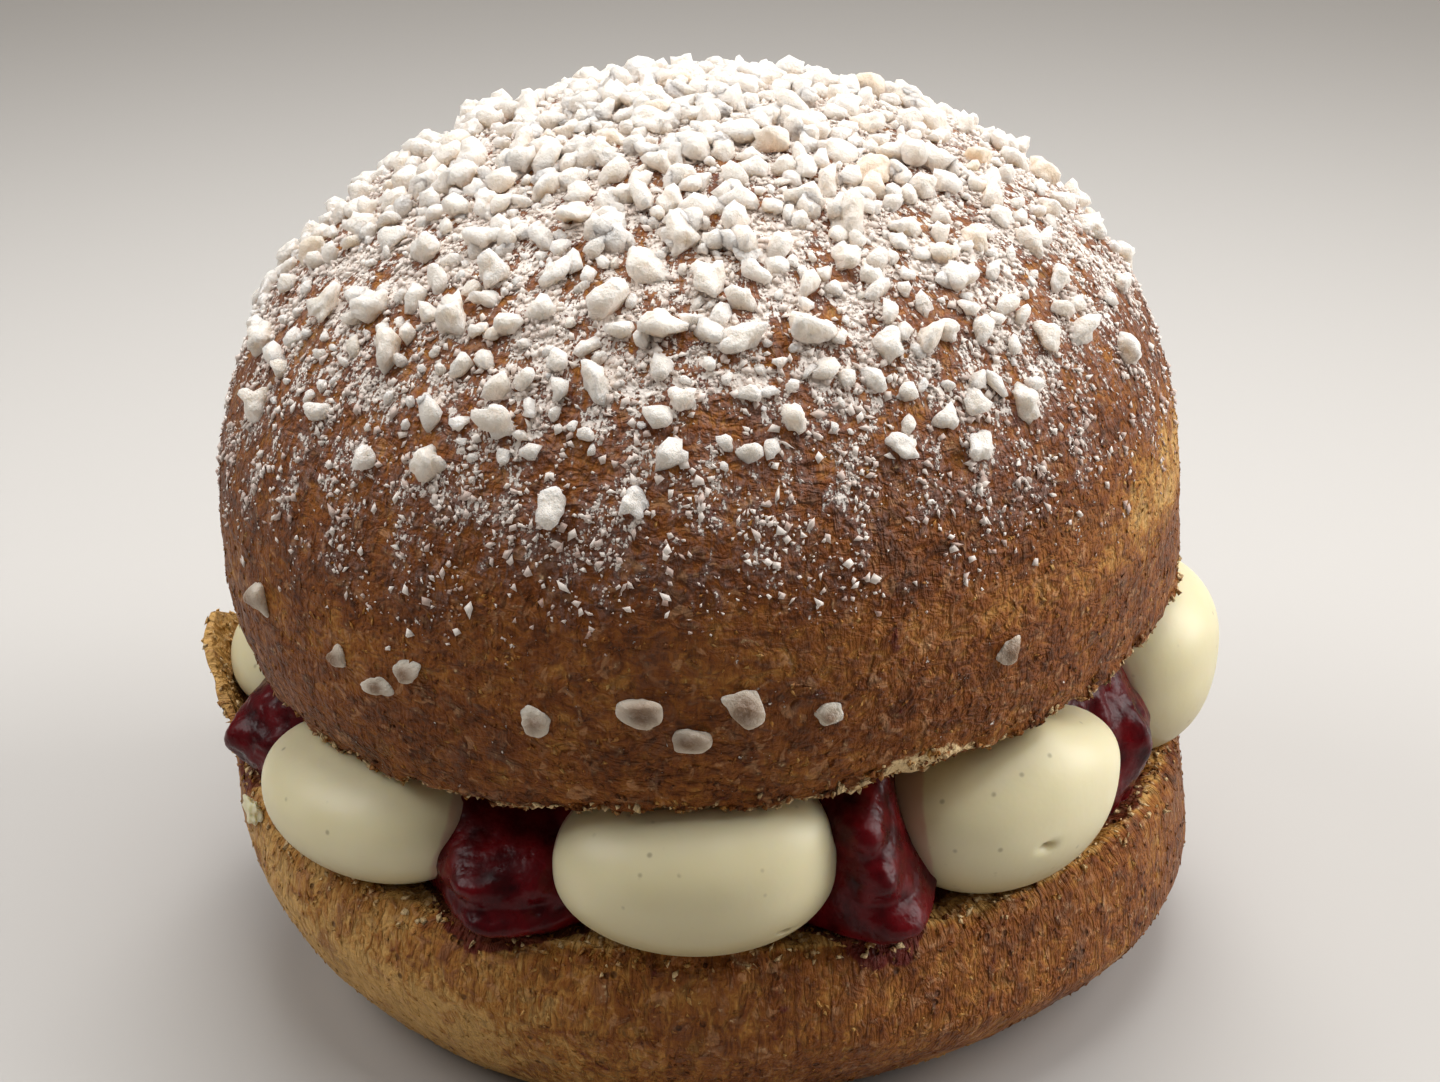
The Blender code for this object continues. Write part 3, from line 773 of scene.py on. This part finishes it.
def cream_paint():
    """Vanilla cream: smooth pale ivory with tiny dark specks, tinted pink where it meets the jam; painted shade
    darkens the lower half of each ball.
    """
    paint = Paint("vanilla cream", roughness=0.42, subsurface_weight=0.5, subsurface_scale=0.0025,
                  subsurface_radius=(1.0, 0.75, 0.4))
    soft = paint.noise(90.0, 2.0)
    shade = paint.mix(soft, colour(219, 208, 168), colour(229, 219, 181))
    near = paint.cells(520.0)
    specks = near.step(0.19, 0.05) * paint.noise(260.0, 0.0).step(0.52, 0.66)
    shade = paint.mix(specks * 0.5, shade, colour(112, 98, 64))
    # Painted shade: the lower half of each ball is mixed towards a darker cream, standing for the shade under
    # it.
    shade = paint.mix(paint.attribute("low"), shade, colour(174, 159, 119))
    pink = (paint.attribute("jam_near") + paint.noise(400.0).swing(0.4)).step(0.35, 1.0)
    shade = paint.mix(pink * 0.5, shade, colour(190, 130, 120))
    return paint.finished(paint.noise(650.0, 2.0) * 0.3 + soft, 0.05 * MM, base_color=shade)


def jam_paint():
    """Red jam: nearly black in depth, wet, with pulp that roughens the shine."""
    paint = Paint("red jam", roughness=0.2, subsurface_weight=0.2, subsurface_scale=0.002,
                  subsurface_radius=(1.0, 0.1, 0.1), specular_ior_level=0.16)
    pulp = paint.noise(380.0, 2.0, 0.5)
    seeds = paint.noise(1000.0, 2.0, 0.5)
    shade = paint.mix(pulp, colour(38, 2, 5), colour(100, 8, 15))
    return paint.finished(pulp + seeds * 0.35, 0.15 * MM, base_color=shade, roughness=seeds * 0.18 + 0.22)


def floor_paint():
    """A pale smooth table with painted shade: it grows greyer all round with distance from the bun, standing
    for the light falling off.
    """
    paint = Paint("pale table", roughness=0.7)
    far = paint.node("ShaderNodeVectorMath", {"operation": "LENGTH"}, [paint.place], output=1)
    # Painted shade: the table's colour darkens with distance from the bun, standing for the lamps' light
    # falling off.
    shade = paint.mix(far.step(0.10, 0.42), colour(185, 181, 176), colour(124, 119, 113))
    return paint.finished(base_color=paint.mix(far.step(0.40, 1.0), shade, colour(112, 107, 102)))


top_points, top_flat_radius, top_height, top_torn = top_shape()
top_points_laid = laid_askew(top_points)
top_normals = normals_out(top_points_laid)
top_parts = stretches(TOP_ROWS)[1]
FIRST_DOME_ROW = top_parts["dome"][0].start
FIRST_CURL_ROW = top_parts["curl"][0].start
top_mm = top_height / MM


def top_bake():
    """How dark the upper half is baked: most in mid-dome, a little less near the top and low down, where it
    is darker again at both sides of the front. A golden patch at the right and a fainter band round the
    widest place stayed pale."""
    dark = 0.67 + 0.12 * fading((top_mm - 24) / 6.0) - 0.09 * step(top_mm, 29, 42)
    left = 0.08 * hump((-50, 45)) * step(top_mm, 20, 12)
    right = 0.07 * hump((42, 78)) * step(top_mm, 27, 21)
    kiss = hump((75, 36)) * step(top_mm, 8, 15) * step(top_mm, 27, 17)
    band = fading((top_mm - 15.0) / 3.0) * (0.22 + 0.15 * hump((38, 60)))
    return dark + left + right - 0.54 * np.clip(kiss + band, 0, 1)


def top_powder():
    """How thickly the icing sugar lies: from none at the widest place to most near the top. It starts a
    little lower at the right, and lies a little thicker at the back than in front."""
    behind = (1 - np.cos(AROUND)) / 2
    right = hump((92, 92))
    lift = 0.50 * step(top_mm, 15.0 - 2 * right, 30) + 0.50 * step(top_mm, 26 - 3 * right, 48 - 4 * right)
    return np.clip(lift * (0.74 + 0.08 * behind), 0, 1)


def top_gathered():
    """How much the icing sugar has gathered: noise in patches that are longer up the dome than across it."""
    along = top_height + TOP_WIDEST - top_flat_radius
    patches = noise(at(AROUND, TOP_WIDEST, 0.5 * along), 2.0 * MM, 61, octaves=2)
    return np.clip(0.45 + 1.6 * patches, 0.04, 1.0)


powder = top_powder()
gathered = top_gathered()
tear = hump(TEAR_AT)
crumb = step(top_height, top_torn + (0.6 + 1.1 * tear) * MM, top_torn * 0.8) * (0.34 + 0.66 * tear)
seen_powder = np.clip(powder * (0.45 + 0.75 * gathered + 0.36 * powder**3), 0, 1)
top_crust = crust_paint("baked crust of the top", pores=False)
finished_grid("bun_top_crust", top_points_laid, top_crust, "crust", ["bun_top"], bake=top_bake(),
              powder=seen_powder, crumb=crumb, stain=0 * powder)

base_points, base_radius, base_height = base_shape()


def base_bake():
    """How dark the lower half is baked: palest on the lip, where the paleness is partly its own thin torn crust
    and partly painted light standing for light shining through it; pale at the left and more so low down there,
    pale along the foot at the right front, and a little darker at the right."""
    height = base_height / MM
    left = hump((-50, 60))
    low_right = hump((40, 40)) * fading((height - 3.0) / 2.5)
    lip = hump(LIP_AT) * step(height, 19, 23)
    right = 0.07 * hump((85, 45))
    # The lip's paleness is partly painted light: light shining through the thin lip is painted in as paler
    # crust.
    return 0.60 - 0.42 * left - 0.34 * left * step(height, 21, 12) - 0.3 * low_right - 0.95 * lip + right


beyond_jam = base_radius - jam_radius(AROUND, np.array([[0.1]]))
stain = (step(base_height, 19 * MM, 22 * MM) * fading(np.maximum(beyond_jam, 0) / (0.8 * MM))
         * step(base_radius, 36 * MM, 40 * MM))
rim = round_the_bun(BASE_RIM)
on_cut = step(base_height, CUT_HEIGHT - 0.6 * MM, CUT_HEIGHT - 0.1 * MM) * step(
    base_radius, rim - 0.3 * MM, rim - 1.2 * MM)
base_normals = normals_out(base_points)
base_crust = crust_paint("baked crust of the base", pores=True)
on_lip = hump(LIP_AT)
finished_grid("bun_base_crust", base_points, base_crust, "crust", ["bun_base"],
              bake=base_bake() - 0.42 * on_cut, stain=stain,
              # On the lip, the pale crumb colour is partly painted light shining through the thin crust.
              crumb=on_cut * 0.22 + 0.12 * on_lip * step(base_height, 20 * MM, 23 * MM))

finished_grid("jam_filling", jam_shape(), jam_paint(), "jam", ["jam"])

cream = cream_paint()
for number, (degrees, half_width, reach, shoulder) in enumerate(CREAM_DEGREES_MM, 1):
    grid, jam_near, share = cream_shape(math.radians(degrees), half_width * MM, reach * MM, shoulder, number)
    # The low share marks where painted shade darkens the cream, strongest at the bottom of each ball.
    finished_grid(f"cream_ball_{number}", grid, cream, "cream", [f"cream_{number}"], jam_near=jam_near,
                  low=step(share, 0.5, 0.0))


def build_smear():
    """A smear of cream that was wiped off on the left rim: a flat uneven lump."""
    directions, triangles = ball_mesh(4)
    lump = directions * (1 + 0.45 * noise(directions + 7, 0.7, 57, octaves=2))[:, None]
    c, s = math.cos(SMEAR_AT), math.sin(SMEAR_AT)
    points = (lump * SMEAR_HALF_SIZES) @ np.array([[c, s, 0], [s, -c, 0], [0, 0, 1]])
    none = np.zeros(len(points))
    finished("cream_smear", points + at(SMEAR_AT, SMEAR_RADIUS, SMEAR_HEIGHT), [triangles], cream, "cream",
             jam_near=none, low=none)


build_smear()


def row_at(values, first, azimuth, wanted):
    """The row, as a fraction, where values that grow along the rows from the first reach what is wanted."""
    column = np.round(azimuth / (2 * math.pi) * CRUST_COLUMNS).astype(int) % CRUST_COLUMNS
    values = values[first:]
    rows = np.arange(len(values))
    return np.array([np.interp(w, values[:, c], rows) for w, c in zip(wanted, column)]) + first


def on_grid(points, normals, columns, rows):
    """Places on a grid and the ways out of it there."""
    return sampled(points, columns, rows), unit(sampled(normals, columns, rows))


def thrown(rng, points, normals, weight, count):
    """Columns and rows, as fractions, of places thrown over a grid, each patch by its area and weight, and
    the places and the ways out of the grid there."""
    across = np.roll(points, -1, axis=1)[:-1] - points[:-1]
    along = points[1:] - points[:-1]
    area = np.linalg.norm(np.cross(across, along), axis=-1) * np.clip(weight[:-1], 0, None)
    row, column = np.unravel_index(rng.choice(area.size, count, p=area.ravel() / area.sum()), area.shape)
    columns, rows = column + rng.uniform(0, 1, count), row + rng.uniform(0, 1, count)
    return columns, rows, *on_grid(points, normals, columns, rows)


def grains(rng, count):
    """Small uneven grains: the corners of octahedra pushed about, and their triangles."""
    corners = np.array([(1, 0, 0), (0, 1, 0), (-1, 0, 0), (0, -1, 0), (0, 0, 1), (0, 0, -1)], float)
    triangles = [(0, 1, 4), (1, 2, 4), (2, 3, 4), (3, 0, 4), (1, 0, 5), (2, 1, 5), (3, 2, 5), (0, 3, 5)]
    shapes = corners * rng.uniform(0.5, 1.5, (count, 6, 1)) + rng.normal(scale=0.25, size=(count, 6, 3))
    return shapes, np.array(triangles)


def small_nibs(rng, large):
    """Small nibs between the large ones: thrown down more thickly near the top, kept where there is room."""
    here = np.stack([large[:, 1] * np.sin(large[:, 0]), large[:, 1] * np.cos(large[:, 0])], -1)
    taken, room = list(here), list(large[:, 2] * 0.34)
    kept = []
    while len(kept) < SMALL_NIB_COUNT:
        azimuth = rng.uniform(0, 2 * math.pi)
        radius = 43 * MM * rng.uniform(0, 1) ** 0.66
        size = (0.9 + 2.8 * rng.uniform(0, 1) ** 1.2) * MM
        spot = np.array([radius * math.sin(azimuth), radius * math.cos(azimuth)])
        away = np.linalg.norm(np.array(taken) - spot, axis=1)
        sparse = radius > 11 * MM and rng.uniform() < 0.6 * hump(SMALL_NIBS_SPARSE_AT, azimuth)
        if not sparse and np.all(away > np.array(room) + size * 0.24):
            kept.append((azimuth, radius, size))
            taken.append(spot)
            room.append(size * 0.26)
        elif rng.uniform() < 0.0006:
            break
    return np.array(kept)


def add_nibs(name, rng, azimuth, rows, size, lift, amber, material, subdivisions=2, knobs=0.34,
             sharpness=18.0, painted_see_through=0.05, painted_warm_shade=0.4, baked_in=False, smooth=False):
    """One kind of pearl sugar on the crust: crystals leaning a little out of true, part of each sunk in. The
    crust's colour is painted into the middle of each as painted light seen through the sugar, and low down on
    each as painted warm shade bounced from the crust; two shares set how much of each."""
    places, out = on_grid(top_points_laid, top_normals, azimuth / (2 * math.pi) * CRUST_COLUMNS, rows)
    directions, triangles = ball_mesh(subdivisions)
    count = len(size)
    shapes = crystals(rng, count, directions, knobs, sharpness)
    narrow, low = (0.90, 0.55) if baked_in else (0.74, 0.66)
    stretch = np.stack([rng.uniform(1.0, 1.3, count), rng.uniform(narrow, narrow + 0.26, count),
                        rng.uniform(low, low + 0.29, count)], -1)
    leaning = unit(out + rng.normal(scale=0.06 if baked_in else 0.28, size=out.shape))
    points, faces = strewn(shapes, stretch * size[:, None] * 0.37, places + out * (size * lift)[:, None],
                           frames_on(leaning, rng, level=baked_in), triangles)
    # Painted light: the middle of each nib gets the crust's colour as light seen through it, and its low part
    # gets it as warm shade.
    middle = painted_see_through * np.clip(directions[:, 2], 0, 1) ** 2 + painted_warm_shade * np.clip(0.1 - directions[:, 2], 0, 1)
    finished(name, points, faces, material, "crust", smooth=smooth,
             amber=np.clip(amber[:, None] + middle[None], 0, 1))


def amber_shares(rng, count):
    """How amber each nib is: most are white, and one in twenty has caught some colour."""
    caught = rng.uniform(0, 1, count) < NIB_AMBER_ONES
    return np.where(caught, rng.uniform(0.15, 0.42, count), rng.uniform(0, 0.14, count))


def build_nibs():
    """All the pearl sugar: the large nibs, the small ones between them and piled near the top, and those
    baked into the curl."""
    large = scattered_nibs(np.random.default_rng(NIB_SEED))
    rng = np.random.default_rng(5)
    material = sugar_paint("pearl sugar", colour(250, 239, 229), colour(243, 206, 164))
    inward = -top_flat_radius
    rows = row_at(inward, FIRST_DOME_ROW, large[:, 0], -large[:, 1])
    add_nibs("pearl_sugar_large", rng, large[:, 0], rows, large[:, 2], np.full(len(large), 0.13),
             amber_shares(rng, len(large)), material, subdivisions=3, knobs=0.40, smooth=True)
    small = small_nibs(rng, large)
    piled = np.stack([rng.uniform(0, 2 * math.pi, PILED_NIB_COUNT),
                      27 * MM * rng.uniform(0, 1, PILED_NIB_COUNT) ** 0.6,
                      rng.uniform(2.2, 4.2, PILED_NIB_COUNT) * MM], -1)
    both = np.concatenate([small, piled])
    lift = np.concatenate([np.full(len(small), 0.14), np.full(len(piled), 0.24)])
    rows = row_at(inward, FIRST_DOME_ROW, both[:, 0], -both[:, 1])
    amber = amber_shares(rng, len(both))
    add_nibs("pearl_sugar_small", rng, both[:, 0], rows, both[:, 2], lift, amber, material)
    baked = np.array(BAKED_NIBS_DEGREES_MM)
    azimuth = np.radians(baked[:, 0]) % (2 * math.pi)
    rows = row_at(top_height, FIRST_CURL_ROW, azimuth, baked[:, 1] * MM)
    # The darker colour is painted into the middles of the baked-in nibs, standing for the crust seen through
    # them.
    material = sugar_paint("baked pearl sugar", colour(228, 216, 198), colour(132, 104, 78))
    add_nibs("pearl_sugar_baked_in", rng, azimuth, rows, baked[:, 2] * MM * 1.25, np.full(len(baked), 0.02),
             rng.uniform(0, 0.2, len(baked)), material, subdivisions=4, knobs=0.19, sharpness=9.0, painted_see_through=0.95,
             painted_warm_shade=0.0, baked_in=True, smooth=True)


def build_icing():
    """The icing sugar: fine dust as uneven tetrahedra, and clumps of it as small uneven grains, both lying
    where the powder is thick and has gathered."""
    rng = np.random.default_rng(77)
    material = icing_paint()
    four = np.array([(1, 1, 1), (1, -1, -1), (-1, 1, -1), (-1, -1, 1)]) / 1.3
    sides = np.array([(0, 1, 2), (0, 3, 1), (0, 2, 3), (1, 3, 2)])
    for name, count, smallest, spread in ICING_KINDS_MM:
        weight = powder * (gathered + 0.4 * powder**3)
        columns, rows, places, out = thrown(rng, top_points_laid, top_normals, weight, count)
        if name == "icing_sugar_dust":
            shapes, triangles = four * rng.uniform(0.6, 1.5, (count, 4, 1)), sides
        else:
            shapes, triangles = grains(rng, count)
        size = (smallest + spread * rng.uniform(0, 1, count) ** 2.4) * MM
        points, faces = strewn(shapes, size[:, None] * np.array([1.25, 0.85, 0.7]),
                               places + out * (size * 0.4)[:, None], frames_on(out, rng), triangles)
        thin = rng.uniform(0, 1, count) ** 1.3 * (1.1 - sampled(powder[..., None], columns, rows)[:, 0])
        thin = np.repeat(np.clip(thin, 0, 0.9), shapes.shape[1])
        finished(name, points, faces, material, "crust", thin=thin)


def build_flakes(name, seed, kinds, pale):
    """Flakes or crumbs of crust on the two halves, lying all ways and standing out a little. Each kind gives
    the grid, its normals and bake, the weight, the count, and the half length, width and thickness."""
    rng = np.random.default_rng(seed)
    all_points, all_faces, bakes, crumbs, start = [], [], [], [], 0
    for grid, normals, bake, weight, count, half_sizes in kinds:
        columns, rows, places, out = thrown(rng, grid, normals, weight, count)
        shapes, triangles = grains(rng, count)
        leaning = unit(out + rng.normal(scale=0.24, size=out.shape))
        size = np.array(half_sizes) * MM * rng.uniform(0.5, 1.4, (count, 1))
        places = places + out * size[:, 2:] * 0.4
        points, faces = strewn(shapes, size, places, frames_on(leaning, rng), triangles)
        all_points.append(points)
        all_faces.append(faces[0] + start)
        start += len(points)
        baked = sampled(bake[..., None], columns, rows)[:, 0] + rng.uniform(-0.45, 0.15, count)
        bakes.append(np.repeat(baked, shapes.shape[1]))
        crumbs.append(np.repeat(pale * rng.uniform(0, 1, count), shapes.shape[1]))
    finished(name, np.concatenate(all_points), [np.concatenate(all_faces)], base_crust, "crust",
             bake=np.concatenate(bakes), crumb=np.concatenate(crumbs))


build_nibs()
build_icing()
top_side = (top_points_laid, top_normals, top_bake())
base_side = (base_points, base_normals, base_bake())
off_lip = 1 - on_lip * step(base_height, 20 * MM, 22 * MM)
build_flakes("crust_flakes", 91, [
    (*top_side, step(top_height, 32 * MM, 18 * MM) * step(top_height, 0.3 * MM, 2 * MM), TOP_FLAKE_COUNT,
     FLAKE_HALF_SIZES_MM),
    (*base_side, step(base_height, 0.5 * MM, 3 * MM) * step(base_radius, 38 * MM, 42 * MM) * off_lip,
     BASE_FLAKE_COUNT, FLAKE_HALF_SIZES_MM),
], 0.0)
build_flakes("torn_crumbs", 92, [
    (*top_side, step(top_height, top_torn + 1.2 * MM, top_torn) * step(top_flat_radius, 42 * MM, 44 * MM),
     TOP_CRUMB_COUNT, TOP_CRUMB_HALF_SIZES_MM),
    (*base_side, step(base_height, CUT_HEIGHT - 2.6 * MM, CUT_HEIGHT - 0.4 * MM)
     * step(base_radius, 43 * MM, 46 * MM), BASE_CRUMB_COUNT, BASE_CRUMB_HALF_SIZES_MM),
], 0.7)


def placed(name, data, place, way):
    """Puts a lamp or camera at a place, turned to look along a way."""
    made = in_scene(name, data)
    made.location = place
    made.rotation_mode = "QUATERNION"
    made.rotation_quaternion = way.to_track_quat("-Z", "Y")
    return made


def build_stage():
    """The pale table, and its soft light: from overhead and behind and from both sides."""
    mesh = bpy.data.meshes.new("table")
    half = TABLE_HALF_WIDTH
    corners = [(-half, -half, 0), (half, -half, 0), (half, half, 0), (-half, half, 0)]
    mesh.from_pydata(corners, [], [(0, 1, 2, 3)])
    mesh.materials.append(floor_paint())
    table = in_scene("table", mesh)
    for name, place, size, power in LAMPS:
        light = bpy.data.lights.new(name, "AREA")
        light.shape = "SQUARE"
        light.size = size
        light.energy = power
        placed(name, light, place, LAMPS_AIM_AT - Vector(place))
    world = bpy.data.worlds.new("soft room")
    world.use_nodes = True
    background = world.node_tree.nodes["Background"].inputs
    background["Color"].default_value = colour(236, 234, 232)
    background["Strength"].default_value = ROOM_BRIGHTNESS
    bpy.context.scene.world = world
    bpy.context.scene.view_settings.view_transform = "Standard"


def build_camera():
    """The camera: straight from the front, looking down."""
    data = bpy.data.cameras.new("camera")
    data.lens = CAMERA_LENS
    data.sensor_width = 36.0
    back = Vector((0.0, -math.cos(CAMERA_ELEVATION), math.sin(CAMERA_ELEVATION)))
    camera = placed("camera", data, CAMERA_LOOKS_AT + CAMERA_DISTANCE * back, -back)
    bpy.context.scene.camera = camera


build_stage()
build_camera()
